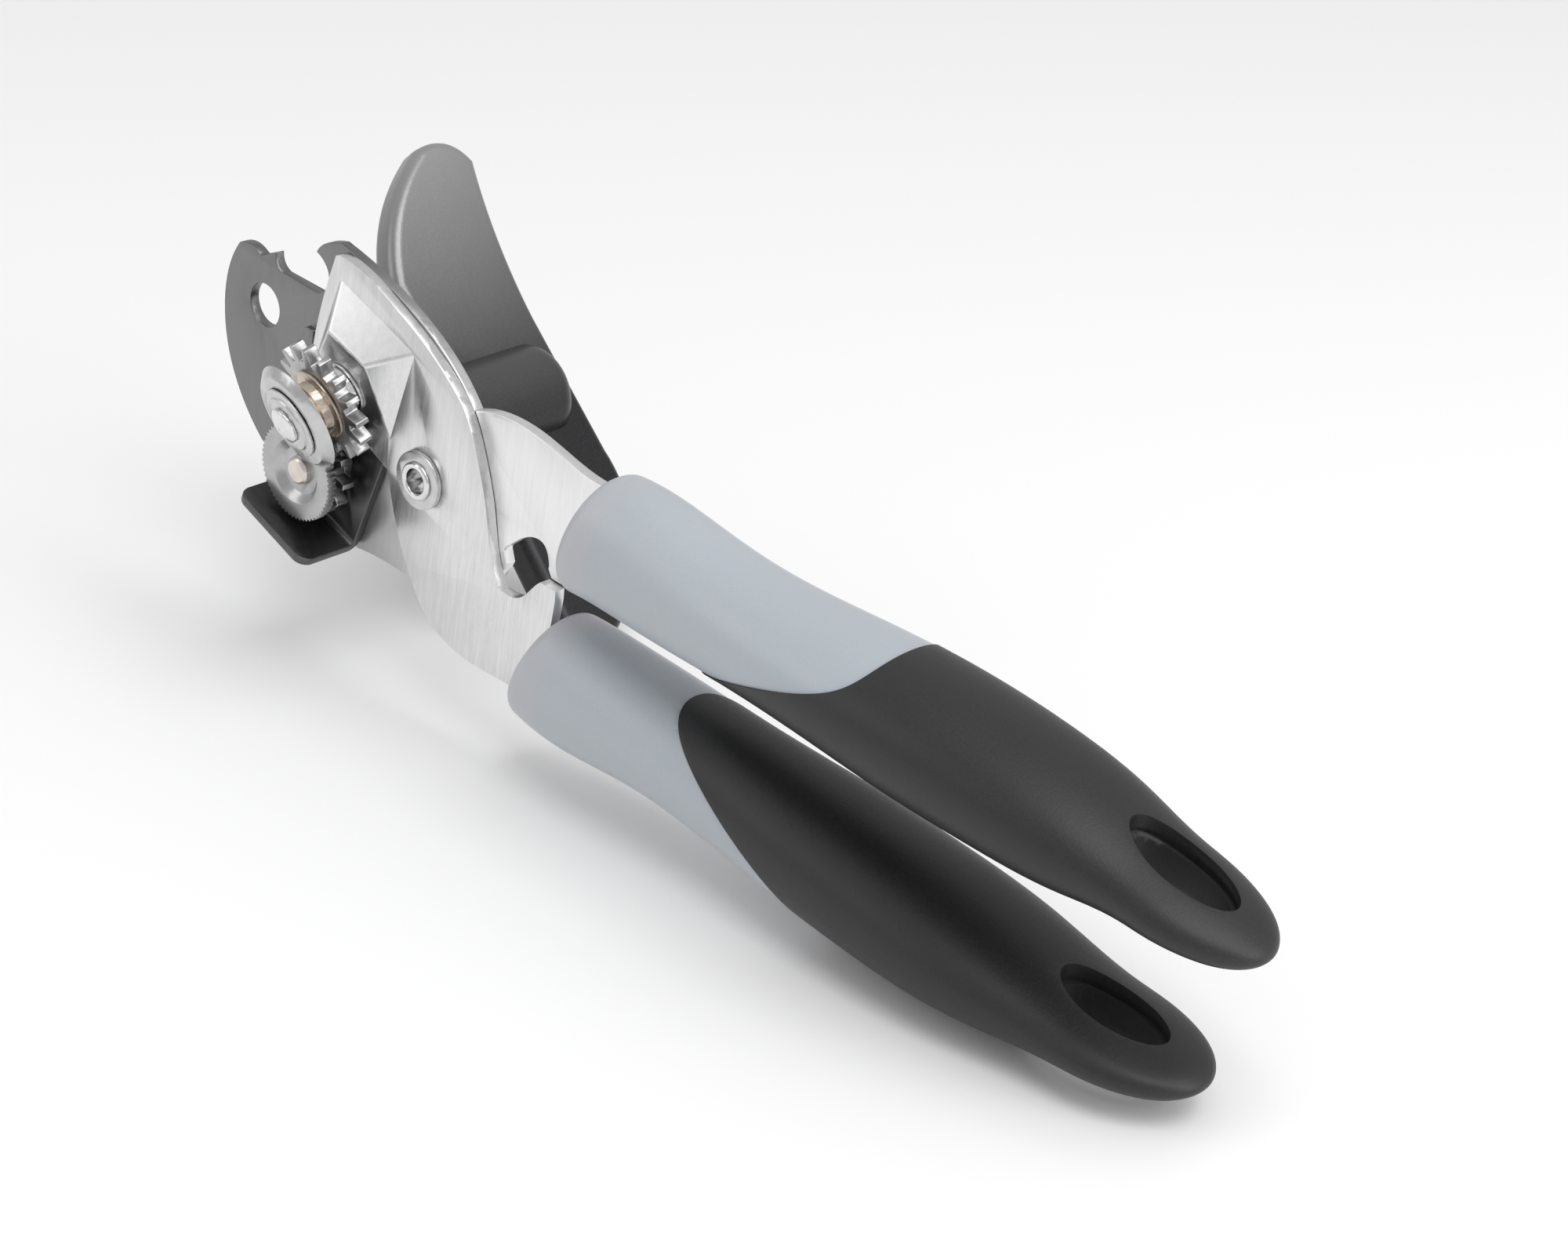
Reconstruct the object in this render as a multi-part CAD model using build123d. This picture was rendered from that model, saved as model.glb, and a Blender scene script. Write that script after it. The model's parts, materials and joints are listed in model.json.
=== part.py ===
from build123d import *
import math
import os

os.makedirs("parts", exist_ok=True)

# Manual can opener, millimetres, +Z up.  X runs along the handles to their ends, the two lever
# plates lap at Y = 0 and the turning key stands out along +Y.  Everything is drawn about the
# pivot rivet and moved to the middle of the whole opener when it is written out.

# ---- lever plates ----
PLATE_T = 2.0          # thickness of each lever plate
LAP_GAP = 0.1          # gap between the two plates
TANG_SKEW = 15.3       # lean of the joggle bend lines, degrees
JOGGLE_L = 3.9         # length of the joggle slope
FRONT_BEND = 23.8      # pivot to the start of the front plate's joggle
BACK_BEND = 21.3       # pivot to the start of the back plate's joggle
BEND_R = 2.0           # rounding of the joggle bends
TANG_END = 92.0        # how far the tangs run inside the handles
HEAD_HOLE = (-44.8, 12.9)
HEAD_HOLE_R = 3.93

# ---- pivot ----
RIVET_R = 2.9          # shank of the hollow rivet
RIVET_BORE_R = 2.2
RIVET_HEAD_R = 3.4
RIVET_HEAD_T = 0.6
PIVOT_WASHER_R = 5.15
PIVOT_WASHER_T = 1.0

# ---- fits ----
RUN = 0.05             # radial clearance of a turning fit
PLAY = 0.15            # end float between turning faces
STOP_GAP = 0.2         # gap left between faces that stop against each other

# ---- raised cutter seat on the front plate ----
SEAT = (-18.35, 9.85)  # where the cutter axis leaves the seat
SEAT_RISE = 1.45       # height of that point above the plate face
SEAT_PEAK = (-10.9, 17.7)
SEAT_CORNERS = ((-23.7, 27.1), (-4.2, 21.5))
SEAT_LEFT = (-28.9, 8.5)
CUT_DIP = 20.9         # downward tilt of the cutter axis, degrees
CUT_TURN = 5.3         # sideways tilt of the cutter axis, degrees
SEAT_WALL = 1.7
RIDGE_R = 1.2

# ---- cutter ----
AXLE_R = 2.5
AXLE_TAIL = 2.2
CUT_BUSH_R = 3.9
CUT_BUSH_FLANGE_R = 4.6
CUT_BUSH_FLANGE_T = 0.6
CUT_BUSH_L = 3.05
CUT_SPACER_R = 4.6
CUT_SPACER_FLANGE_R = 6.4
CUT_SPACER_L = 4.5
CUT_WHEEL_R = 9.85
CUT_WHEEL_T = 1.6
CUT_BEVEL = 1.5
HEAD_WASHER_R = 6.5
HEAD_WASHER_T = 0.85
AXLE_HEAD_R = 3.2
AXLE_HEAD_H = 1.5

# ---- gears ----
MODULE = 1.22
CUT_TEETH = 16
FEED_TEETH = 12
GEAR_W = 2.5
MESH_SLACK = 0.1       # added to the distance between the gears
TOOTH_THIN = 0.42      # taken off each tooth for backlash
MESH_ANGLE = 72.5      # from +X to the line from the feed axis to the cutter gear, degrees

# ---- feed ----
SHAFT_R = 2.5
FEED_BUSH_R = 3.6
FEED_FLANGE_R = 5.2
FEED_FLANGE_T = 1.3
FEED_BUSH_TAIL = 0.6
FEED_SPACER_R = 4.0
FEED_SPACER_L = 1.8
FEED_WHEEL_R = 8.9
FEED_WHEEL_T = 1.8
FEED_DISH_R = 5.8
FEED_DISH_FLOOR_R = 4.3
FEED_DISH_DEPTH = 1.3
FEED_NOTCHES = 58
FEED_NOTCH_DEPTH = 0.45
SPRING_WASHER_R = 5.5
SPRING_WASHER_T = 0.4
SPRING_WASHER_H = 1.0

# ---- can guide ----
GUIDE_T = 1.5
GUIDE_REACH = 11.3     # how far the folded flange stands out
GUIDE_BEND_R = 1.0
GUIDE_CORNER_R = 2.5

# ---- turning key ----
KEY_SPAN = 98.0        # tip to tip
KEY_T = 7.2            # thickness of the wing
KEY_FRONT = 25.9       # Y of the wing's front edge
KEY_DEPTH = 30.1       # front edge to rear edge at the tips
KEY_HUB_R = 9.2
KEY_HUB_START = 4.0
KEY_HUB_END = 50.0
KEY_ANGLE = 137.0      # wing direction from +X towards +Z, degrees
SHAFT_IN_KEY = 34.0

# ---- handles ----
HANDLE_L = 135.8       # upper collar rim to tip
LOWER_EXTRA = 2.5      # how much longer the lower handle is
GRIP_W = 30.4          # widest across Y
GRIP_H = 22.6          # deepest across Z
COLLAR_NOSE_R = 3.2
CORE_INSET = 2.5
GRIP_PROUD = 0.25      # step of the soft grip above the collar
HANG_L = 19.6
HANG_W = 10.0
HANG_LEDGE = 0.9       # how far the core shows inside the hanging hole
HANG_BACK = 16.4       # hole centre to the tip

# ---- derived positions ----
HALF_GAP = LAP_GAP / 2
FRONT_Y = -HALF_GAP - PLATE_T
BACK_Y = HALF_GAP + PLATE_T
JOGGLE = HALF_GAP + PLATE_T / 2
PITCH_CUT = MODULE * CUT_TEETH / 2
PITCH_FEED = MODULE * FEED_TEETH / 2

DIP = math.radians(CUT_DIP)
TURN = math.radians(CUT_TURN)
CUT_DIR = Vector(-math.sin(TURN) * math.cos(DIP), -math.cos(TURN) * math.cos(DIP), -math.sin(DIP))
CUT_BASE = Vector(SEAT[0], FRONT_Y - SEAT_RISE, SEAT[1])
CUT_GEAR_S = CUT_BUSH_L + PLAY
CUT_MID = CUT_BASE + CUT_DIR * (CUT_GEAR_S + GEAR_W / 2)

MESH = math.radians(MESH_ANGLE)
MESH_DIR = Vector(math.cos(MESH), 0, math.sin(MESH))
MESH_GAP = PITCH_FEED + PITCH_CUT * math.cos(DIP) + MESH_SLACK
FEED_X = CUT_MID.X - MESH_DIR.X * MESH_GAP
FEED_Z = CUT_MID.Z - MESH_DIR.Z * MESH_GAP

DOWN = Vector(0, 0, 0) - MESH_DIR
CUT_TOOTH_DIR = (DOWN - CUT_DIR * DOWN.dot(CUT_DIR)).normalized()
CUT_PLANE = Plane(origin=CUT_BASE, x_dir=CUT_TOOTH_DIR, z_dir=CUT_DIR)
FEED_PLANE = Plane(origin=(FEED_X, 0, FEED_Z), x_dir=MESH_DIR, z_dir=(0, 1, 0))
PIVOT_PLANE = Plane(origin=(0, 0, 0), x_dir=(1, 0, 0), z_dir=(0, 1, 0))

LEAF_Y = HALF_GAP - GUIDE_T
GEAR_BACK_Y = LEAF_Y - FEED_FLANGE_T - PLAY
GEAR_FRONT_Y = GEAR_BACK_Y - GEAR_W
WHEEL_BACK_Y = GEAR_FRONT_Y - FEED_SPACER_L
WHEEL_FRONT_Y = WHEEL_BACK_Y - FEED_WHEEL_T
BUSH_END_Y = BACK_Y + FEED_BUSH_TAIL


def outline(*runs):
    """Closed face from runs of points; two points make a line, more make a spline."""
    edges = []
    for pts in runs:
        if len(pts) == 2:
            edges.append(Line(*pts))
        else:
            edges.append(Spline(*pts))
    return make_face(edges)


def soften(face, spots, radius):
    """Round the corners of a flat face that lie nearest the given spots."""
    corners = [face.vertices().sort_by_distance(Vector(x, z, 0))[0] for x, z in spots]
    return fillet(corners, radius)


def prism(face, y0, y1):
    """Push an XZ outline through from y0 to y1."""
    base = Plane(origin=(0, y1, 0), x_dir=(1, 0, 0), z_dir=(0, -1, 0))
    return extrude(base * face, amount=y1 - y0)


def turned(plane, *profile):
    """Turn a (radius, height) profile about the plane's normal."""
    face = Plane.XZ * make_face(Polyline(*profile, close=True))
    return plane * revolve(face, Axis.Z)


def ring(plane, inner, outer, h0, h1):
    return turned(plane, (inner, h0), (outer, h0), (outer, h1), (inner, h1))


def rod(plane, radius, h0, h1):
    return turned(plane, (0, h0), (radius, h0), (radius, h1), (0, h1))


def stepped_sheet(y0, y1, bend, shift):
    """Sheet with a joggle: flat, then a slope that shifts it in Y, then flat again."""
    far = 200
    skew = math.radians(TANG_SKEW)
    along = Plane(origin=(0, 0, -60), x_dir=(math.cos(skew), 0, -math.sin(skew)),
                  z_dir=(math.sin(skew), 0, math.cos(skew)))
    low = ((-far, y0), (bend, y0), (bend + JOGGLE_L, y0 + shift), (far, y0 + shift))
    high = ((far, y1 + shift), (bend + JOGGLE_L, y1 + shift), (bend, y1), (-far, y1))
    flip = Plane(along.origin, x_dir=along.x_dir, z_dir=along.x_dir.cross(Vector(0, 1, 0)))
    face = make_face(Polyline(*low, *high, close=True))
    for u, v in (low[1], low[2], high[1], high[2]):
        corner = face.vertices().sort_by_distance(Vector(u, v, 0))[0]
        face = fillet(corner, BEND_R)
    return extrude(flip * face, amount=130, both=True)


def half_space(point, normal, reach=120):
    """Large block whose face passes through the point, on the side the normal leaves."""
    block = Box(reach, reach, reach, align=(Align.CENTER, Align.CENTER, Align.MAX))
    return Plane(origin=point, z_dir=normal) * block


def seat_block(inset, back_y):
    """Four-faced raised seat; inset moves every face inwards to make its hollow."""
    peak_y = CUT_BASE.Y - (CUT_DIR.X * (SEAT_PEAK[0] - SEAT[0])
                           + CUT_DIR.Z * (SEAT_PEAK[1] - SEAT[1])) / CUT_DIR.Y
    peak = Vector(SEAT_PEAK[0], peak_y, SEAT_PEAK[1])
    top, right = [Vector(x, FRONT_Y, z) for x, z in SEAT_CORNERS]
    low = -(SEAT_RISE * CUT_DIR.Y) / CUT_DIR.Z
    low_right = Vector(-8.4, FRONT_Y, SEAT[1] + low - CUT_DIR.X / CUT_DIR.Z * (-8.4 - SEAT[0]))
    left = Vector(SEAT_LEFT[0], FRONT_Y, SEAT_LEFT[1])
    faces = [(CUT_BASE, CUT_DIR)]
    faces.append((top, (top - right).cross(peak - right)))
    faces.append((right, (right - low_right).cross(peak - low_right)))
    edge = (top - left).normalized()
    outward = edge.cross(Vector(0, 1, 0))
    faces.append((left, (Vector(0, -1, 0) + outward).normalized()))
    block = Box(80, 30, 80, align=(Align.CENTER, Align.MAX, Align.CENTER))
    block = Pos(0, back_y, 0) * block
    for point, normal in faces:
        normal = normal.normalized()
        if normal.Y > 0:
            normal = normal * -1
        block = block & half_space(point - normal * inset, normal)
    return block


def tang_rim(x0, z0, lean, z):
    return (x0 + lean * (z - z0), z)


def front_plate():
    """Lower lever plate with the raised cutter seat and its tang."""
    rim_in = 2.5
    face = outline(
        ((-25.2, 30.8), (-24.4, 31.2)),
        ((-24.4, 31.2), (-16.9, 30.2), (-10.3, 27.8), (-4.5, 25.4), (2.8, 21.4), (8.2, 17.3)),
        ((8.2, 17.3), (11.0, 13.2), (13.5, 8), (15.9, 1.7), (18.1, -6.1), (20.9, -11.1)),
        ((20.9, -11.1), (23, -11.1)),
        ((23, -11.1), (26.4, -9.6), (28.4, -7.0), (30.0, -4.95 - STOP_GAP)),
        ((30.0, -4.95 - STOP_GAP), (33.6, -4.95 - STOP_GAP)),
        ((33.6, -4.95 - STOP_GAP), (33.7, -7.1)),
        ((33.7, -7.1), (33.4, -12.0)),
        ((33.4, -12.0), (33.6 + rim_in, -13.4)),
        ((33.6 + rim_in, -13.4), (TANG_END - 4, -17.5)),
        ((TANG_END - 4, -17.5), (TANG_END - 4, -25)),
        ((TANG_END - 4, -25), (29.4 + rim_in, -25.2)),
        ((29.4 + rim_in, -25.2), (27.6 + rim_in, -27.5)),
        ((27.6 + rim_in, -27.5), (20, -27.7), (14, -27.8), (8.9, -26.8), (4.7, -25.1)),
        ((4.7, -25.1), (-1.2, -18.2), (-6.5, -7.4), (-8.2, -2.1)),
        ((-8.2, -2.1), (-29.5, 6.5)),
        ((-29.5, 6.5), (-29.3, 11.7), (-27.6, 21.9), (-25.2, 30.8)),
    )
    face = soften(face, ((-29.5, 6.5), (-8.2, -2.1), (20.9, -11.1)), 1.0)
    plate = stepped_sheet(FRONT_Y, -HALF_GAP, FRONT_BEND, JOGGLE) & prism(face, -20, 20)
    seat = seat_block(0, -HALF_GAP - PLATE_T / 2)
    sharp = [e for e in seat.edges() if e.center().Y < FRONT_Y - 0.5]
    seat = fillet(sharp, RIDGE_R)
    plate = plate + (seat & prism(face, -20, 20))
    hollow = seat_block(SEAT_WALL, HALF_GAP)
    plate = plate - hollow
    plate = plate - rod(PIVOT_PLANE, RIVET_R, -10, 10)
    plate = plate - rod(CUT_PLANE, AXLE_R, -10, 10)
    plate = plate - rod(CUT_PLANE, CUT_BUSH_FLANGE_R, 0, 5)
    return plate


def back_plate():
    """Upper lever plate with the bottle-opener notch, the head hole and its tang."""
    rim_in = 2.5
    face = outline(
        ((-52.4, 21.8), (-55.1, 15.2), (-55.5, 9), (-53.4, -0.1), (-48.9, -7.4), (-43.4, -12.7)),
        ((-43.4, -12.7), (-38, -15.3), (-31, -17.5), (-16.5, -21.9)),
        ((-16.5, -21.9), (-7.2, -21.0), (8.5, -19.2), (16.0, -13.8), (19.9, -7.4)),
        ((19.9, -7.4), (18.8, -4.8)),
        ((18.8, -4.8), (21.1, -2.6), (24.9, 0.2), (27.6, 0.3), (28.9, -1.2), (29.4, -3.6)),
        ((29.4, -3.6), (30.3, -4.95)),
        ((30.3, -4.95), (32.6, -4.95)),
        ((32.6, -4.95), (35.0, -4.0)),
        ((35.0, -4.0), (36.0 + rim_in, -1.4)),
        ((36.0 + rim_in, -1.4), (48, 2.0)),
        ((48, 2.0), (TANG_END, 4.2)),
        ((TANG_END, 4.2), (TANG_END, 12.6)),
        ((TANG_END, 12.6), (40.7 + rim_in, 14.6)),
        ((40.7 + rim_in, 14.6), (41.1 + rim_in, 17.1)),
        ((41.1 + rim_in, 17.1), (30.5, 17.1), (23.8, 18.3), (17.5, 18.5), (8.8, 16.3)),
        ((8.8, 16.3), (3.1, 21.5), (-4, 25.6), (-11.4, 28.5), (-20.6, 30.9), (-26.6, 31.9)),
        ((-26.6, 31.9), (-29.3, 31.0), (-31.2, 29.8), (-32.5, 28.0)),
        ((-32.5, 28.0), (-30.4, 27.0), (-29.0, 25.0), (-29.4, 22.6), (-31.4, 20.8)),
        ((-31.4, 20.8), (-40.6, 20.6)),
        ((-40.6, 20.6), (-42.3, 21.6), (-42.9, 23.6)),
        ((-42.9, 23.6), (-46.6, 21.6)),
        ((-46.6, 21.6), (-49.4, 22.5), (-52.4, 21.8)),
    )
    face = soften(face, ((-16.5, -21.9), (18.8, -4.8), (-46.6, 21.6)), 0.8)
    face = soften(face, ((-52.4, 21.8),), 1.0)
    plate = stepped_sheet(HALF_GAP, BACK_Y, BACK_BEND, -JOGGLE) & prism(face, -20, 20)
    plate = plate - rod(PIVOT_PLANE, RIVET_R + RUN, -10, 10)
    plate = plate - rod(FEED_PLANE, FEED_BUSH_R, -10, 10)
    hole = Plane(origin=(HEAD_HOLE[0], 0, HEAD_HOLE[1]), z_dir=(0, 1, 0))
    plate = plate - rod(hole, HEAD_HOLE_R, -10, 10)
    lance = Pos(-31.6, HALF_GAP, 12.2) * Box(2.4, 1.5 + PLATE_T / 2, 4.2)
    lance = fillet(lance.edges().filter_by(Axis.Y), 0.6)
    return plate + lance


def can_guide():
    """Leaf on the back plate with a flange folded out under the feed wheel."""
    fold_a = Vector(-34.4, 0, -16.3)
    fold_b = Vector(-16.3, 0, -21.9)
    run = (fold_b - fold_a).normalized()
    side = Plane(origin=fold_a, x_dir=(0, -1, 0), z_dir=run)
    rise = 26.0
    up = 1 if side.y_dir.Z > 0 else -1
    x0 = -HALF_GAP
    tip = x0 + GUIDE_T + GUIDE_REACH
    shape = make_face(Polyline((x0, 0), (tip, 0), (tip, up * GUIDE_T), (x0 + GUIDE_T, up * GUIDE_T),
                               (x0 + GUIDE_T, up * rise), (x0, up * rise), close=True))
    inner = shape.vertices().sort_by_distance(Vector(x0 + GUIDE_T, up * GUIDE_T, 0))[0]
    shape = fillet(inner, GUIDE_BEND_R)
    outer = shape.vertices().sort_by_distance(Vector(x0, 0, 0))[0]
    shape = fillet(outer, GUIDE_BEND_R + GUIDE_T * 0.9)
    length = (fold_b - fold_a).length
    angle = extrude(side * shape, amount=length)
    corners = [e for e in angle.edges() if e.center().Y < HALF_GAP - GUIDE_REACH - GUIDE_T + 0.1
               and abs(e.length - GUIDE_T) < 0.01]
    angle = fillet(corners, GUIDE_CORNER_R)
    leaf = outline(
        ((-34.6, -14.0), (-38, -30)),
        ((-38, -30), (-12, -30)),
        ((-12, -30), (-16.3, -21.9)),
        ((-16.3, -21.9), (-14.9, -19.4), (-12, -10), (-9.6, -2.2)),
        ((-9.6, -2.2), (-12.5, -1.2)),
        ((-12.5, -1.2), (-21.5, 2.3), (-28, 1.6), (-32.4, -5)),
        ((-32.4, -5), (-34.6, -14.0)),
    )
    guide = angle & prism(leaf, -30, 30)
    return guide - rod(FEED_PLANE, FEED_BUSH_R, -10, 10)


def gear_face(teeth, phase):
    """Spur gear outline with curved flanks and thinned teeth."""
    pitch_r = MODULE * teeth / 2
    tip_r = pitch_r + 0.93 * MODULE
    root_r = pitch_r - 1.25 * MODULE
    step = 2 * math.pi / teeth
    half_pitch = step / 4 - TOOTH_THIN / 2 / pitch_r
    half_tip = half_pitch - 0.30 * MODULE / tip_r
    half_root = half_pitch + 0.34 * MODULE / root_r

    def at(radius, angle):
        return (radius * math.cos(angle), radius * math.sin(angle))

    edges = []
    for k in range(teeth):
        mid = (k + phase) * step
        foot = at(root_r, mid - half_root)
        crest_a = at(tip_r, mid - half_tip)
        crest_b = at(tip_r, mid + half_tip)
        heel = at(root_r, mid + half_root)
        edges.append(ThreePointArc(foot, at(pitch_r, mid - half_pitch), crest_a))
        edges.append(ThreePointArc(crest_a, at(tip_r, mid), crest_b))
        edges.append(ThreePointArc(crest_b, at(pitch_r, mid + half_pitch), heel))
        gap_end = at(root_r, mid + step - half_root)
        edges.append(ThreePointArc(heel, at(root_r, mid + step / 2), gap_end))
    return make_face(edges)


def gear(plane, teeth, phase, h0, bore_r):
    wheel = extrude(Pos(0, 0, h0) * gear_face(teeth, phase), amount=GEAR_W)
    wheel = plane * wheel
    return wheel - rod(plane, bore_r, h0 - 1, h0 + GEAR_W + 1)


def feed_wheel():
    """Finely notched drive wheel with a dished face."""
    pts = []
    for k in range(FEED_NOTCHES):
        a = 2 * math.pi * k / FEED_NOTCHES
        b = a + math.pi / FEED_NOTCHES
        low = FEED_WHEEL_R - FEED_NOTCH_DEPTH
        pts.append((FEED_WHEEL_R * math.cos(a), FEED_WHEEL_R * math.sin(a)))
        pts.append((low * math.cos(b), low * math.sin(b)))
    blank = extrude(Pos(0, 0, WHEEL_FRONT_Y) * make_face(Polyline(*pts, close=True)),
                    amount=FEED_WHEEL_T)
    wheel = FEED_PLANE * blank
    floor_y = WHEEL_FRONT_Y + FEED_DISH_DEPTH
    wheel = wheel - turned(FEED_PLANE, (0, floor_y), (FEED_DISH_FLOOR_R, floor_y),
                           (FEED_DISH_R, WHEEL_FRONT_Y), (FEED_DISH_R, WHEEL_FRONT_Y - 1),
                           (0, WHEEL_FRONT_Y - 1))
    return wheel - rod(FEED_PLANE, SHAFT_R, WHEEL_FRONT_Y - 1, WHEEL_BACK_Y + 1)


def feed_shaft():
    """Drive shaft with a crowned front end and two flats inside the key."""
    tip = WHEEL_FRONT_Y + 0.1
    end = KEY_HUB_START + SHAFT_IN_KEY
    shaft = turned(FEED_PLANE, (0, tip), (SHAFT_R - 0.5, tip), (SHAFT_R, tip + 0.5),
                   (SHAFT_R, end), (0, end))
    return shaft - shaft_flats()


def key_plane():
    angle = math.radians(KEY_ANGLE)
    reach = Vector(math.cos(angle), 0, math.sin(angle))
    return Plane(origin=(FEED_X, 0, FEED_Z), x_dir=reach, z_dir=reach.cross(Vector(0, 1, 0)))


def shaft_flats():
    """Material missing from both sides of the shaft inside the key."""
    start = KEY_HUB_START + 2
    plane = key_plane()
    flats = []
    for side in (-1, 1):
        block = Box(4 * SHAFT_R, SHAFT_IN_KEY, SHAFT_R, align=(Align.CENTER, Align.MIN, Align.CENTER))
        flats.append(plane * (Pos(0, start, side * SHAFT_R * 1.2) * block))
    return flats[0] + flats[1]


def feed_bush():
    """Bearing bush that clamps the guide leaf to the back plate."""
    return turned(FEED_PLANE, (SHAFT_R + RUN, LEAF_Y - FEED_FLANGE_T),
                  (FEED_FLANGE_R, LEAF_Y - FEED_FLANGE_T), (FEED_FLANGE_R, LEAF_Y),
                  (FEED_BUSH_R, LEAF_Y), (FEED_BUSH_R, BACK_Y), (FEED_BUSH_R + 0.6, BACK_Y),
                  (FEED_BUSH_R + 0.3, BUSH_END_Y), (SHAFT_R + RUN, BUSH_END_Y))


def spring_washer():
    """Coned washer between the bush and the key."""
    y1 = KEY_HUB_START
    y0 = y1 - SPRING_WASHER_H
    return turned(FEED_PLANE, (SHAFT_R, y1 - SPRING_WASHER_T), (SPRING_WASHER_R, y0),
                  (SPRING_WASHER_R, y0 + SPRING_WASHER_T), (SHAFT_R, y1))


def key():
    """Turning key: a leaf-shaped wing on a round hub."""
    plane = key_plane()
    half = KEY_SPAN / 2
    f = KEY_FRONT
    d = KEY_DEPTH
    wing = outline(
        ((half, f + 0.62 * d), (0.985 * half, f + 0.90 * d), (0.90 * half, f + d)),
        ((0.90 * half, f + d), (0.58 * half, f + 0.91 * d), (0.26 * half, f + 0.89 * d)),
        ((0.26 * half, f + 0.89 * d), (-0.30 * half, f + 0.95 * d)),
        ((-0.30 * half, f + 0.95 * d), (-0.56 * half, f + 0.92 * d), (-0.93 * half, f + 0.46 * d),
         (-half, f + 0.23 * d)),
        ((-half, f + 0.23 * d), (-0.985 * half, f + 0.08 * d), (-0.94 * half, f + 0.03 * d)),
        ((-0.94 * half, f + 0.03 * d), (-0.6 * half, f + 0.03 * d), (0.52 * half, f)),
        ((0.52 * half, f), (0.70 * half, f + 0.13 * d), (half, f + 0.62 * d)),
    )
    body = plane * extrude(wing, amount=KEY_T / 2, both=True)
    body = fillet(body.edges().filter_by(lambda e: abs(plane.to_local_coords(e.center()).Z)
                                         > KEY_T / 2 - 0.01), KEY_T * 0.32)
    hub = turned(FEED_PLANE, (0, KEY_HUB_START), (KEY_HUB_R, KEY_HUB_START),
                 (KEY_HUB_R, KEY_HUB_END), (0, KEY_HUB_END))
    hub = fillet(hub.edges().sort_by(Axis.Y)[-1], KEY_HUB_R * 0.45)
    body = body + hub
    shaft = rod(FEED_PLANE, SHAFT_R, KEY_HUB_START - 1, KEY_HUB_START + SHAFT_IN_KEY)
    return body - (shaft - shaft_flats())


def section(x, zc, a, b, lean):
    """Closed smooth section of a handle, its plane leaning back by lean in X per Z."""
    pts = []
    n = 16
    for k in range(n):
        t = 2 * math.pi * k / n
        y = a * math.copysign(abs(math.cos(t)) ** 0.94, math.cos(t))
        z = b * math.copysign(abs(math.sin(t)) ** 0.94, math.sin(t))
        pts.append((x + lean * z, y, zc + z))
    return Wire([Edge.make_spline([Vector(*p) for p in pts], periodic=True)])


# Handle stations: distance along, centre height, half width, half depth, lean of the section.
# Distances are parts of the handle length, widths and depths parts of the grip's half sizes.
UPPER_ROWS = (
    (0.000, 8.1, 0.60, 1.04, 0.28),
    (0.050, 8.9, 0.63, 1.00, 0.18),
    (0.135, 8.6, 0.66, 0.945, 0.06),
    (0.275, 8.2, 0.72, 0.81, 0.0),
    (0.425, 8.8, 0.83, 0.825, 0.0),
    (0.545, 8.8, 0.88, 0.86, 0.0),
    (0.665, 8.5, 0.875, 0.81, 0.0),
    (0.775, 7.8, 0.80, 0.66, 0.0),
    (0.850, 7.1, 0.70, 0.475, 0.0),
)
LOWER_ROWS = (
    (0.000, -19.6, 0.55, 0.95, 0.40),
    (0.050, -20.1, 0.61, 1.00, 0.26),
    (0.110, -20.1, 0.66, 0.97, 0.10),
    (0.180, -19.6, 0.69, 0.885, 0.0),
    (0.320, -19.9, 0.72, 0.85, 0.0),
    (0.468, -20.6, 0.84, 0.85, 0.0),
    (0.567, -21.1, 0.89, 0.83, 0.0),
    (0.722, -21.6, 0.90, 0.67, 0.0),
    (0.850, -21.5, 0.76, 0.43, 0.0),
)
UPPER_RIM_X = 38.2
LOWER_RIM_X = 30.9
UPPER_TIP_Z = 5.0
LOWER_TIP_Z = -20.9


def handle_solid(rows, rim_x, length, tip_z, inset, first=0):
    """Handle volume through its stations, closing round at the tip; inset shrinks it."""
    wires = []
    for t, zc, a, b, lean in rows[first:]:
        wires.append(section(rim_x + t * length, zc, a * GRIP_W / 2 - inset,
                             b * GRIP_H / 2 - inset, lean))
    t, zc, a, b, lean = rows[-1]
    start = rim_x + t * length
    span = rim_x + length - inset - start
    for u in (0.30, 0.55, 0.75, 0.90, 0.975, 0.998):
        round_a = (1 - u ** 2.4) ** (1 / 2.0)
        round_b = (1 - 0.45 * u) * (1 - u ** 6) ** 0.5
        mid = zc + (tip_z - zc) * u
        wires.append(section(start + span * u, mid, (a * GRIP_W / 2 - inset) * round_a,
                             (b * GRIP_H / 2 - inset) * round_b, 0.0))
    return Part() + Solid.make_loft(wires)


def hang_hole(x, ledge):
    slot = Ellipse(HANG_L / 2 - ledge, HANG_W / 2 - ledge)
    return extrude(Pos(x, 0, -60) * slot, amount=120)


def collar_zone(x_shift, z_mid, up):
    """Side view of the part of a handle covered by the collar."""
    seam = ((60, -16), (67, -10), (75, -5.8), (86.5, -0.6), (97, 4.2), (102.3, 8), (103.8, 14))
    pts = [(x + x_shift, z_mid + up * v) for x, v in seam]
    first = pts[0]
    last = pts[-1]
    far = z_mid + up * 40
    face = outline(pts, (last, (last[0], far)), ((last[0], far), (-20, far)),
                   ((-20, far), (-20, first[1])), ((-20, first[1]), first))
    return prism(face, -40, 40)


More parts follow.
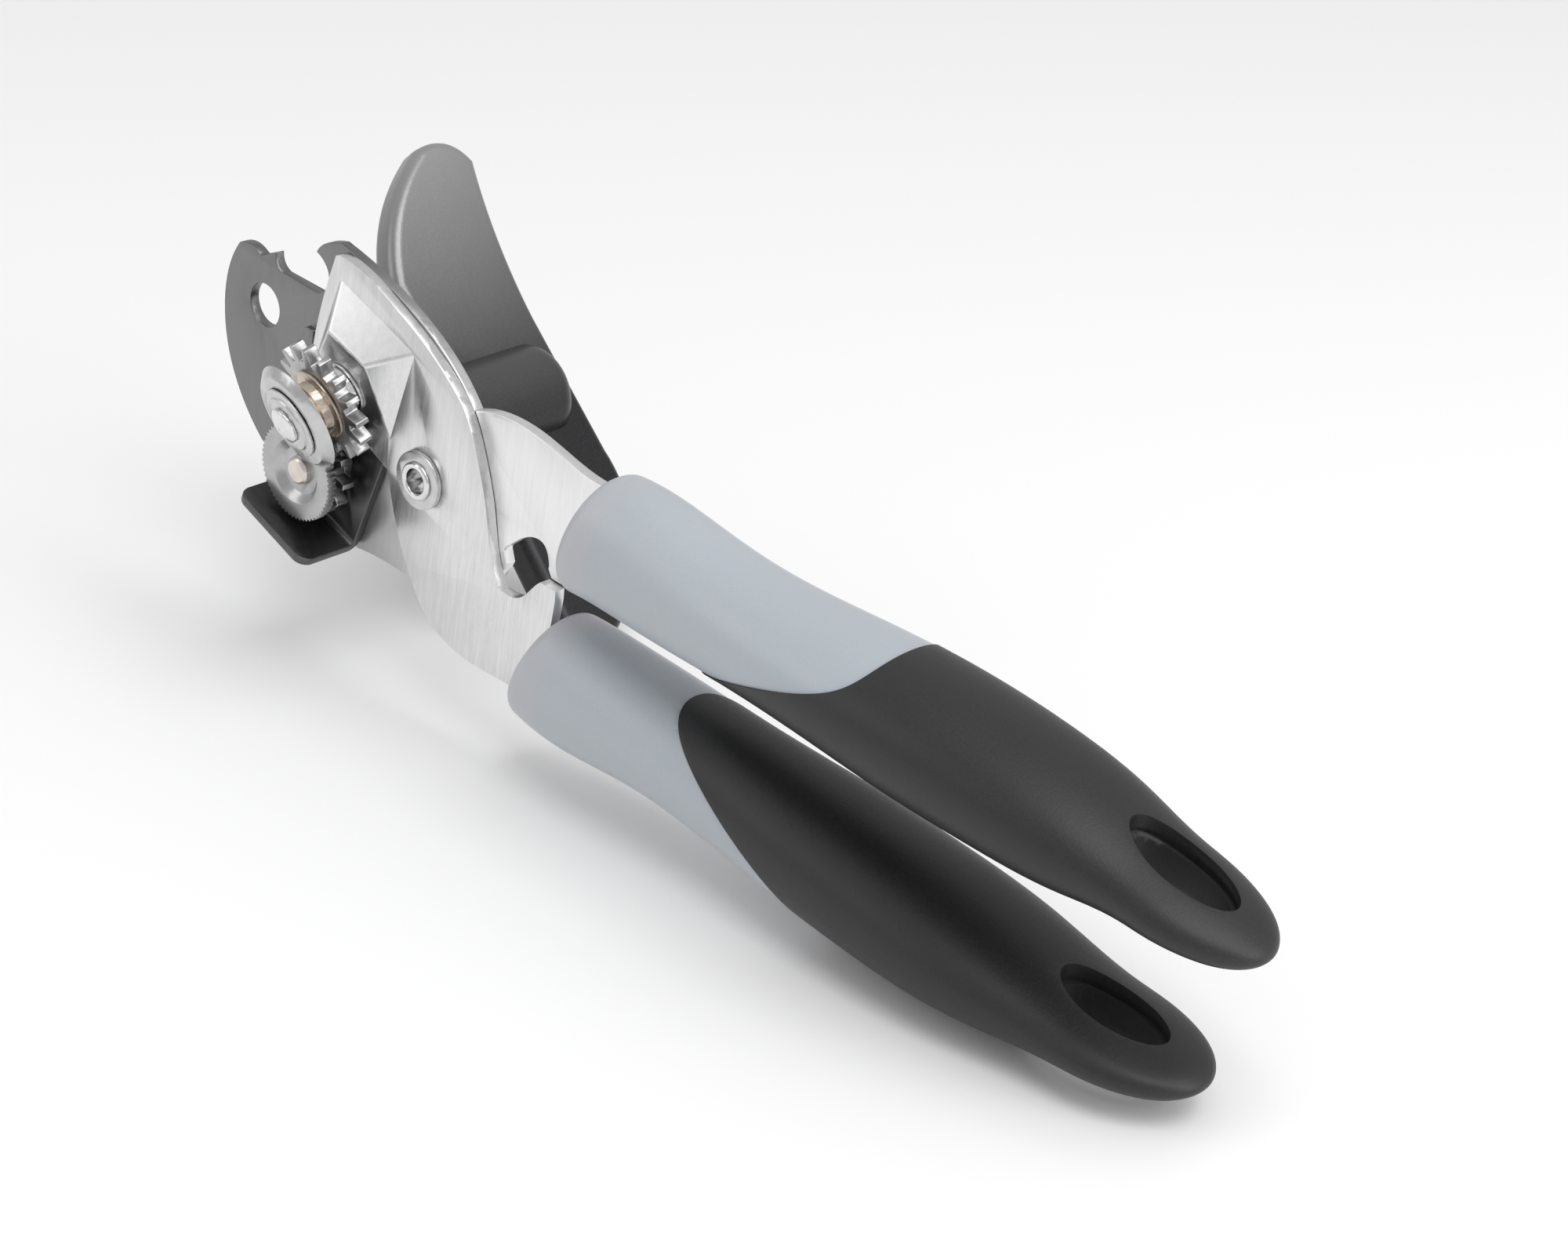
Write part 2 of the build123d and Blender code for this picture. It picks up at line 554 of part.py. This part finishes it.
def handle(rows, rim_x, length, tip_z, hole_x, zone, tang):
    """Core, collar and grip of one handle, moulded round its tang."""
    skin = handle_solid(rows, rim_x, length, tip_z, 0)
    rim = skin.edges().sort_by(Axis.X)[0]
    skin = fillet(rim, COLLAR_NOSE_R)
    core = handle_solid(rows, rim_x, length, tip_z, CORE_INSET, first=1)
    outer = handle_solid(rows, rim_x, length, tip_z, -GRIP_PROUD, first=1)
    collar = (skin & zone) - core - tang
    grip = outer - zone - core - hang_hole(hole_x, 0)
    core = core - hang_hole(hole_x, HANG_LEDGE) - tang
    return core, collar, grip


def pivot_rivet():
    """Hollow rivet, headed at both ends."""
    head_0 = FRONT_Y - PIVOT_WASHER_T
    head_1 = BACK_Y + PLAY + PIVOT_WASHER_T
    return turned(PIVOT_PLANE, (RIVET_BORE_R, head_0 - RIVET_HEAD_T + 0.2),
                  (RIVET_BORE_R + 0.3, head_0 - RIVET_HEAD_T), (RIVET_HEAD_R - 0.3, head_0 - RIVET_HEAD_T),
                  (RIVET_HEAD_R, head_0 - RIVET_HEAD_T + 0.3), (RIVET_HEAD_R, head_0),
                  (RIVET_R, head_0), (RIVET_R, head_1), (RIVET_HEAD_R, head_1),
                  (RIVET_HEAD_R, head_1 + RIVET_HEAD_T - 0.3), (RIVET_HEAD_R - 0.3, head_1 + RIVET_HEAD_T),
                  (RIVET_BORE_R + 0.3, head_1 + RIVET_HEAD_T), (RIVET_BORE_R, head_1 + RIVET_HEAD_T - 0.2))


def cutter_axle():
    """Fixed axle with a domed head, riveted into the seat."""
    s0 = -AXLE_TAIL
    s1 = CUT_GEAR_S + GEAR_W + CUT_SPACER_L + CUT_WHEEL_T + PLAY + HEAD_WASHER_T
    s2 = s1 + AXLE_HEAD_H
    rim = s1 + AXLE_HEAD_H * 0.4
    rise = s2 - rim
    dome = (AXLE_HEAD_R ** 2 + rise ** 2) / (2 * rise)
    lean = math.asin(AXLE_HEAD_R / dome) / 2
    edges = [Line((0, s0), (AXLE_R, s0)), Line((AXLE_R, s0), (AXLE_R, s1))]
    edges.append(Line((AXLE_R, s1), (AXLE_HEAD_R, s1)))
    edges.append(Line((AXLE_HEAD_R, s1), (AXLE_HEAD_R, rim)))
    edges.append(ThreePointArc((AXLE_HEAD_R, rim), (dome * math.sin(lean),
                               s2 - dome + dome * math.cos(lean)), (0, s2)))
    edges.append(Line((0, s2), (0, s0)))
    return CUT_PLANE * revolve(Plane.XZ * make_face(edges), Axis.Z)


def cutter_spacer(s0):
    """Flanged spacer with a shallow groove, between the gear and the cutting disc."""
    s1 = s0 + CUT_SPACER_L
    r = CUT_SPACER_R
    return turned(CUT_PLANE, (AXLE_R + RUN, s0), (CUT_SPACER_FLANGE_R - 0.2, s0),
                  (CUT_SPACER_FLANGE_R, s0 + 0.2), (CUT_SPACER_FLANGE_R, s0 + 0.6), (r, s0 + 0.6),
                  (r, s0 + 2.2), (r - 0.5, s0 + 2.4), (r - 0.5, s0 + 3.2), (r, s0 + 3.4), (r, s1),
                  (AXLE_R + RUN, s1))


def build():
    cut_0 = CUT_GEAR_S
    cut_1 = cut_0 + GEAR_W
    cut_2 = cut_1 + CUT_SPACER_L
    cut_3 = cut_2 + CUT_WHEEL_T
    cut_4 = cut_3 + PLAY
    rim = CUT_WHEEL_R
    parts = {}
    parts["front_plate"] = front_plate()
    parts["back_plate"] = back_plate()
    parts["can_guide"] = can_guide()
    parts["pivot_rivet"] = pivot_rivet()
    parts["pivot_front_washer"] = ring(PIVOT_PLANE, RIVET_R, PIVOT_WASHER_R,
                                       FRONT_Y - PIVOT_WASHER_T, FRONT_Y)
    parts["pivot_back_washer"] = ring(PIVOT_PLANE, RIVET_R, PIVOT_WASHER_R,
                                      BACK_Y + PLAY, BACK_Y + PLAY + PIVOT_WASHER_T)
    parts["cutter_axle"] = cutter_axle()
    parts["cutter_bush"] = turned(CUT_PLANE, (AXLE_R, 0), (CUT_BUSH_FLANGE_R, 0),
                                  (CUT_BUSH_FLANGE_R, CUT_BUSH_FLANGE_T),
                                  (CUT_BUSH_R, CUT_BUSH_FLANGE_T), (CUT_BUSH_R, CUT_BUSH_L),
                                  (AXLE_R, CUT_BUSH_L))
    parts["cutter_gear"] = gear(CUT_PLANE, CUT_TEETH, 0, cut_0, AXLE_R + RUN)
    parts["cutter_spacer"] = cutter_spacer(cut_1)
    parts["cutter_wheel"] = turned(CUT_PLANE, (AXLE_R + RUN, cut_2), (rim, cut_2), (rim, cut_2 + 0.15),
                                   (rim - CUT_BEVEL, cut_3), (AXLE_R + RUN, cut_3))
    parts["cutter_head_washer"] = turned(CUT_PLANE, (AXLE_R, cut_4), (HEAD_WASHER_R, cut_4),
                                         (HEAD_WASHER_R, cut_4 + 0.5 * HEAD_WASHER_T),
                                         (HEAD_WASHER_R - 1.4, cut_4 + 0.55 * HEAD_WASHER_T),
                                         (HEAD_WASHER_R - 1.6, cut_4 + HEAD_WASHER_T),
                                         (AXLE_R, cut_4 + HEAD_WASHER_T))
    parts["feed_shaft"] = feed_shaft()
    parts["feed_wheel"] = feed_wheel()
    parts["feed_spacer"] = ring(FEED_PLANE, SHAFT_R, FEED_SPACER_R, GEAR_FRONT_Y - FEED_SPACER_L,
                                GEAR_FRONT_Y)
    parts["feed_gear"] = gear(FEED_PLANE, FEED_TEETH, 0.5, GEAR_FRONT_Y, SHAFT_R)
    parts["feed_bush"] = feed_bush()
    parts["spring_washer"] = spring_washer()
    parts["key"] = key()
    upper = handle(UPPER_ROWS, UPPER_RIM_X, HANDLE_L, UPPER_TIP_Z,
                   UPPER_RIM_X + HANDLE_L - HANG_BACK, collar_zone(0, 8, 1), parts["back_plate"])
    lower = handle(LOWER_ROWS, LOWER_RIM_X, HANDLE_L + LOWER_EXTRA, LOWER_TIP_Z,
                   LOWER_RIM_X + HANDLE_L + LOWER_EXTRA - HANG_BACK - 0.9, collar_zone(-1.8, -20.2, -1),
                   parts["front_plate"])
    for name, pieces in (("upper", upper), ("lower", lower)):
        for kind, piece in zip(("core", "collar", "grip"), pieces):
            parts[f"{name}_{kind}"] = piece
    return parts


parts = build()
middle = Compound(children=[Compound(p.wrapped) for p in parts.values()]).bounding_box().center()
for name, part in parts.items():
    export_step(Pos(-middle.X, -middle.Y, -middle.Z) * part, f"parts/{name}.step")
    print(name, round(part.volume, 1), len(part.solids()))
print("shift", middle)
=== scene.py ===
import bpy
import bmesh
import json
import math
from mathutils import Matrix, Vector


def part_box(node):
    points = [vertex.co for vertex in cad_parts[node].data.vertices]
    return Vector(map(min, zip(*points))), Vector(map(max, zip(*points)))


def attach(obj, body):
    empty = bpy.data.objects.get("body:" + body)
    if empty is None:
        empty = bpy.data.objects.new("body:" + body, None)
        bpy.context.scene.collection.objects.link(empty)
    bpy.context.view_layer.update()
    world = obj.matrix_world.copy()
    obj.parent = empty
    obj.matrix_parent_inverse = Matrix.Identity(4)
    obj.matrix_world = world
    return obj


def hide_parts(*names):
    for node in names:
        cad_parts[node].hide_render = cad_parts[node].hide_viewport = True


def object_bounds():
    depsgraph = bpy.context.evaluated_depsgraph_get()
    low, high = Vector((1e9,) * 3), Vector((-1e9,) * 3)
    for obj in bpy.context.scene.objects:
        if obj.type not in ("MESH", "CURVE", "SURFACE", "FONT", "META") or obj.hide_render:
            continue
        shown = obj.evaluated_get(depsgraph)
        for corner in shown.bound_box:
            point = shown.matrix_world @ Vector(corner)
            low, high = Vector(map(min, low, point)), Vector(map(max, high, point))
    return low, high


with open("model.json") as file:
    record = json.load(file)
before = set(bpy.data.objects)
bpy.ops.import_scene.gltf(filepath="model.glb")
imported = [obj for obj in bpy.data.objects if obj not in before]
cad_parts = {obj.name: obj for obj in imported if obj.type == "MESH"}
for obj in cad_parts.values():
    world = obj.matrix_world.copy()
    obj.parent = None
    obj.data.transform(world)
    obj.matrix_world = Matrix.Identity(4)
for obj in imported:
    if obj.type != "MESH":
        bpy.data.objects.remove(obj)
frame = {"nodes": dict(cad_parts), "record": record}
cad_low, cad_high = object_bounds()

# %% [markdown]
# # A hand-held can opener
# The metal levers, the wheels, the key and the grips all have real sizes, so they come from the
# solid model that is loaded above. This lesson gives them a finish: which pieces are turned,
# which are stamped and brushed, which are moulded, and how each catches the light.
# Every place is worked out from the boxes of the loaded pieces, so nothing is measured twice.

# %% Where things are
MM = 0.001
nodes = frame["nodes"]
rivet_low, rivet_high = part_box("pivot_rivet")
core_low, core_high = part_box("upper_core")
pivot = (rivet_low + rivet_high) / 2
pivot.y = (core_low.y + core_high.y) / 2
print("pivot at", [round(c / MM, 2) for c in pivot], "mm")

# %% [markdown]
# ## Shader maths in plain Python
# A finish is a small sum: grain times strength, plus a base value. Wired by hand that is a long
# chain of Math nodes. `Channel` wraps one node output and lets + - * add those nodes, and
# `Finish.node` makes every other node, so a material below reads like the sum it is.

# %% The helper classes
class Channel:
    """A number that changes over the surface; the operators add Math nodes."""

    def __init__(self, finish, socket):
        self.finish = finish
        self.socket = socket

    def math(self, operation, a, b):
        return self.finish.node("ShaderNodeMath", {"operation": operation}, {0: a, 1: b})

    def __add__(self, other):
        return self.math("ADD", self, other)

    def __radd__(self, other):
        return self.math("ADD", other, self)

    def __sub__(self, other):
        return self.math("SUBTRACT", self, other)

    def __rsub__(self, other):
        return self.math("SUBTRACT", other, self)

    def __mul__(self, other):
        return self.math("MULTIPLY", self, other)

    def __rmul__(self, other):
        return self.math("MULTIPLY", other, self)


class Finish:
    """One material and the nodes that shape it."""

    def __init__(self, name, **fixed):
        self.material = bpy.data.materials.new(name)
        self.material.use_nodes = True
        self.tree = self.material.node_tree
        self.shader = self.tree.nodes["Principled BSDF"]
        for socket, value in fixed.items():
            self.shader.inputs[socket.replace("_", " ")].default_value = value
        self.place = self.node("ShaderNodeTexCoord", output="Object")

    def node(self, kind, settings=None, inputs=None, output=0):
        """Adds a node: settings first, then the values or links of its sockets."""
        node = self.tree.nodes.new(kind)
        for key, value in (settings or {}).items():
            setattr(node, key, value)
        for key, value in (inputs or {}).items():
            self.put(node.inputs[key], value)
        return Channel(self, node.outputs[output])

    def put(self, socket, value):
        if isinstance(value, Channel):
            self.tree.links.new(value.socket, socket)
        else:
            socket.default_value = value

    def drive(self, **channels):
        """Links what changes over the surface to the shader."""
        for socket, channel in channels.items():
            self.put(self.shader.inputs[socket.replace("_", " ")], channel)
        return self.material

    def stretched(self, scale, turn):
        """Object coordinates turned and stretched, in patterns per metre."""
        return self.node("ShaderNodeMapping", None,
                         {"Vector": self.place, "Rotation": turn, "Scale": scale})

    def along(self, axis):
        """One of the Object coordinates."""
        return self.node("ShaderNodeSeparateXYZ", None, {"Vector": self.place}, "XYZ".index(axis))

    def noise(self, where, size, detail=2.0, rough=0.5):
        return self.node("ShaderNodeTexNoise", {"noise_dimensions": "3D"},
                         {"Vector": where, "Scale": size, "Detail": detail, "Roughness": rough})

    def ramp(self, value, low, high):
        """Spreads low..high over 0..1."""
        return self.node("ShaderNodeMapRange", {"clamp": True},
                         {"Value": value, "From Min": low, "From Max": high})

    def blend(self, mask, first, second):
        return self.node("ShaderNodeMix", {"data_type": "RGBA"},
                         {0: mask, 6: first, 7: second}, output=2)

    def bump(self, height, depth, strength=1.0):
        return self.node("ShaderNodeBump", None,
                         {"Height": height, "Distance": depth, "Strength": strength})


def grey(value, warmth=0.0):
    return (value * (1 + warmth), value, value * (1 - warmth), 1.0)


# %% [markdown]
# ## Brushed sheet steel
# Both levers and the can guide are stamped from sheet that was brushed before stamping, so fine
# parallel scratches run one way across each piece. A noise pattern squeezed along one direction
# gives the scratches; it moves the roughness and the colour a little and tilts the surface.

# %% Brushed steel
FINE_SCRATCH = (9000, 9000, 220)
BROAD_SCRATCH = (900, 900, 60)
SCRATCH_DEPTH = 0.000006


def brushed_steel(name, tone, dark, roughness, lean, painted_shade=None):
    """Brushed sheet; the optional (start, end, share) paints shade: the sheet is painted dimmer,
    to share of its tone, before start along X.
    """
    finish = Finish(name, Metallic=1.0)
    turn = (0, math.radians(lean), 0)
    fine = finish.noise(finish.stretched(FINE_SCRATCH, turn), 1.0, 3.0, 0.6)
    broad = finish.noise(finish.stretched(BROAD_SCRATCH, turn), 1.0, 2.0)
    cloud = finish.noise(finish.place, 45.0, 3.0)
    streak = finish.ramp(fine * 0.65 + broad * 0.35, 0.32, 0.68)
    mask = streak * 0.7 + cloud * 0.3
    colour = finish.blend(mask, grey(dark), grey(tone))
    # Painted shade: below start along X the colour is dimmed to share of its tone. It stands in
    # for shade, not for the steel's own colour.
    if painted_shade:
        start, end, share = painted_shade
        shade_colour = finish.blend(mask, grey(dark * share), grey(tone * share))
        colour = finish.blend(finish.ramp(finish.along("X"), start, end), shade_colour, colour)
    return finish.drive(
        Base_Color=colour,
        Roughness=roughness + streak * 0.10 + (cloud - 0.5) * 0.12,
        Normal=finish.bump(fine, SCRATCH_DEPTH),
    )


# %% [markdown]
# ## Turned and plated pieces
# Bushes, washers and wheels come off a lathe and are plated, so they are smoother than the sheet
# and show soft blotches where hands and oil have been.

# %% Turned steel
TURNED_GRAIN_DEPTH = 0.000003


def turned_steel(name, tone, roughness, warmth=0.0, mottle=0.08):
    finish = Finish(name, Metallic=1.0)
    cloud = finish.noise(finish.place, 320.0, 4.0, 0.6)
    grain = finish.noise(finish.place, 5200.0, 2.0)
    mask = finish.ramp(cloud, 0.3, 0.7)
    colour = finish.blend(mask, grey(tone * 0.82, warmth), grey(tone, warmth))
    return finish.drive(
        Base_Color=colour,
        Roughness=roughness + (1 - mask) * mottle,
        Normal=finish.bump(grain, TURNED_GRAIN_DEPTH),
    )


# %% [markdown]
# ## Moulded pieces
# The collars are a hard frosted plastic, the grips a soft rubber-like plastic moulded over them,
# and the key a plastic with metal flake. All three leave the mould with a fine spark texture.

# %% Plastics
def moulded(name, colour, shade, roughness, grain_size, grain_depth, metallic=0.0, painted_highlight=None,
            **fixed):
    """Plastic with a fine grain; the optional (low, high, colour) paints a highlight: paler
    towards high in Z.
    """
    finish = Finish(name, Metallic=metallic, **fixed)
    grain = finish.noise(finish.place, grain_size, 2.0, 0.6)
    cloud = finish.noise(finish.place, 60.0, 3.0)
    speck = finish.ramp(grain, 0.35, 0.65)
    mixed = finish.blend(speck * 0.6 + cloud * 0.4, shade, colour)
    # Painted highlight: the colour is blended towards a pale grey higher up in Z, standing in for
    # light falling on the top.
    if painted_highlight:
        low, high, highlight_colour = painted_highlight
        mixed = finish.blend(finish.ramp(finish.along("Z"), low, high), mixed, highlight_colour)
    return finish.drive(
        Base_Color=mixed,
        Roughness=roughness + (cloud - 0.5) * 0.10 + (speck - 0.5) * 0.06,
        Normal=finish.bump(grain, grain_depth),
    )


# %% All the finishes
key_low, key_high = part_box("key")
key_middle = (key_low + key_high) / 2
finishes = {
    "front_steel": brushed_steel("front_steel", 0.86, 0.60, 0.26, 8),
    # The back plate is painted darker towards the head, as painted shade: fully dimmed 22 mm on
    # the head side of the pivot, full tone from 14 mm on the handle side.
    "back_steel": brushed_steel("back_steel", 0.92, 0.76, 0.28, -20,
                                (pivot.x - 22 * MM, pivot.x + 14 * MM, 0.26)),
    # The can guide uses the same brushed sheet with a near-black tone: painted shade for a guide
    # that sits in shadow under the head.
    "guide_steel": brushed_steel("guide_steel", 0.15, 0.09, 0.32, 15),
    "bright_steel": turned_steel("bright_steel", 0.86, 0.12),
    "washer_steel": turned_steel("washer_steel", 0.66, 0.24),
    "gear_steel": turned_steel("gear_steel", 0.50, 0.26),
    "cutter_steel": turned_steel("cutter_steel", 0.62, 0.20),
    "bronze": turned_steel("bronze", 0.60, 0.22, warmth=0.16),
    "nickel": turned_steel("nickel", 0.72, 0.22, warmth=0.08),
    # The key is painted paler towards its upper tip, from 2 mm above its middle to its top:
    # painted highlight.
    "key_plastic": moulded("key_plastic", (0.05, 0.05, 0.052, 1), (0.03, 0.03, 0.032, 1),
                           0.34, 2600.0, 0.00002, metallic=0.75,
                           painted_highlight=(key_middle.z + 2 * MM, key_high.z, (0.38, 0.38, 0.385, 1))),
    "core_plastic": moulded("core_plastic", (0.02, 0.02, 0.02, 1), (0.015, 0.015, 0.015, 1),
                            0.6, 2000.0, 0.00002),
    "collar_plastic": moulded("collar_plastic", (0.45, 0.462, 0.495, 1), (0.42, 0.432, 0.465, 1),
                              0.36, 3000.0, 0.000012, Subsurface_Weight=0.15),
    "grip_rubber": moulded("grip_rubber", (0.018, 0.018, 0.018, 1), (0.012, 0.012, 0.012, 1),
                           0.46, 2200.0, 0.00003),
}
print("finishes:", ", ".join(finishes))

# %% [markdown]
# ## Softened copies of the solid pieces
# A solid model meets at perfectly sharp edges, and real stamped or moulded pieces do not: each
# edge has a tiny radius that draws a bright line. Each piece is copied, its loose triangles are
# joined, flat faces are dissolved into whole faces, and a narrow bevel rounds the edges.

# %% The copying step
SLOTS = {s["node"]: s["material_slot"] for s in frame["record"]["subparts"]}
BODY_OF = {n: b for b, members in frame["record"]["behaviour"]["bodies"].items() for n in members}
JOIN = 0.000005
FLAT_WITHIN = math.radians(0.5)
GRIP_EDGE = 0.7


def softened(node, edge, sharp=30.0, segments=2):
    """A joined copy of a node with rounded edges, riding where the node does."""
    mesh = bmesh.new()
    mesh.from_mesh(nodes[node].data)
    bmesh.ops.remove_doubles(mesh, verts=mesh.verts, dist=JOIN)
    bmesh.ops.dissolve_limit(mesh, angle_limit=FLAT_WITHIN, verts=mesh.verts,
                             edges=mesh.edges, delimit={"NORMAL"})
    data = bpy.data.meshes.new(node + "_piece")
    mesh.to_mesh(data)
    mesh.free()
    data.materials.clear()
    data.materials.append(finishes[SLOTS[node]])
    piece = bpy.data.objects.new(node + "_piece", data)
    bpy.context.scene.collection.objects.link(piece)
    for face in data.polygons:
        face.use_smooth = True
    if edge:
        bevel = piece.modifiers.new("edge", "BEVEL")
        bevel.width = edge
        bevel.segments = segments
        bevel.limit_method = "ANGLE"
        bevel.angle_limit = math.radians(sharp)
        bevel.harden_normals = True
    else:
        data.set_sharp_from_angle(angle=math.radians(sharp))
    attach(piece, BODY_OF[node])
    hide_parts(node)
    return piece


EDGES = {
    "front_plate": 0.25, "back_plate": 0.22, "can_guide": 0.22, "pivot_rivet": 0.1,
    "pivot_front_washer": 0.15, "pivot_back_washer": 0.15, "cutter_axle": 0.12,
    "cutter_bush": 0.12, "cutter_head_washer": 0.1, "cutter_gear": 0.12, "cutter_spacer": 0.1,
    "cutter_wheel": 0.08, "feed_shaft": 0.1, "feed_wheel": 0.05, "feed_gear": 0.12,
    "feed_spacer": 0.1, "feed_bush": 0.1, "spring_washer": 0.05,
}
for node, edge in EDGES.items():
    softened(node, edge * MM)
for node in ("upper_grip", "lower_grip"):
    softened(node, GRIP_EDGE * MM, sharp=50, segments=4)
for node in ("key", "upper_collar", "lower_collar", "upper_core", "lower_core"):
    softened(node, 0, sharp=32)

# %% [markdown]
# ## Floor, light and camera
# The opener stands on its lower grip and on one tip of the key. The floor is a plain pale sheet
# through those two, large soft lights stand above and to the sides, and the camera looks down
# from the front.

# %% Floor
FLOOR_TILT = 5.6
FLOOR_SIZE = 4.0
KEY_TIP_FORWARD = 11
UNDER_KEY = 0.3
floor_mesh = bmesh.new()
bmesh.ops.create_grid(floor_mesh, x_segments=1, y_segments=1, size=FLOOR_SIZE)
floor_point = Vector((pivot.x + KEY_TIP_FORWARD * MM, pivot.y, key_low.z - UNDER_KEY * MM))
turn = Matrix.Translation(floor_point) @ Matrix.Rotation(math.radians(-FLOOR_TILT), 4, "Y")
bmesh.ops.transform(floor_mesh, matrix=turn, verts=floor_mesh.verts)
floor_data = bpy.data.meshes.new("floor")
floor_mesh.to_mesh(floor_data)
floor_mesh.free()
floor = bpy.data.objects.new("floor", floor_data)
bpy.context.scene.collection.objects.link(floor)
floor_finish = Finish("floor_paper", Roughness=0.7)
floor_finish.drive(Base_Color=(0.93, 0.93, 0.93, 1.0))
floor_data.materials.append(floor_finish.material)

# %% Light
world = bpy.data.worlds.new("studio")
world.use_nodes = True
world.node_tree.nodes["Background"].inputs["Color"].default_value = (1, 1, 1, 1)
world.node_tree.nodes["Background"].inputs["Strength"].default_value = 0.60
bpy.context.scene.world = world
bpy.context.scene.view_settings.view_transform = "Standard"


def softbox(name, place, aim, size, power):
    light = bpy.data.lights.new(name, "AREA")
    light.shape = "RECTANGLE"
    light.size = size[0]
    light.size_y = size[1]
    light.energy = power
    lamp = bpy.data.objects.new(name, light)
    lamp.location = place
    lamp.rotation_euler = (aim - Vector(place)).to_track_quat("-Z", "Y").to_euler()
    bpy.context.scene.collection.objects.link(lamp)


middle = (cad_low + cad_high) / 2
softbox("top_light", middle + Vector((0.45, -0.10, 1.5)), middle, (1.3, 1.1), 12)
softbox("right_light", middle + Vector((0.80, 0.15, 0.45)), middle, (0.5, 0.6), 2.6)
softbox("left_light", middle + Vector((-0.55, -0.55, 0.35)), middle, (0.4, 0.5), 0.7)

# %% Camera
LENS = 75.6
SENSOR = 36
CAMERA_OFFSET = Vector((351.4, -340.2, 263.9)) * MM
RIGHT = Vector((0.7222, 0.6780, 0.1371))
UP = Vector((-0.4333, 0.2889, 0.8537))
lens = bpy.data.cameras.new("camera")
lens.lens = LENS
lens.sensor_width = SENSOR
camera = bpy.data.objects.new("camera", lens)
right = RIGHT.normalized()
up = (UP - right * UP.dot(right)).normalized()
back = right.cross(up)
facing = Matrix((right, up, back)).transposed().to_4x4()
camera.matrix_world = Matrix.Translation(pivot + CAMERA_OFFSET) @ facing
bpy.context.scene.collection.objects.link(camera)
bpy.context.scene.camera = camera

# %% End
print("scene built")
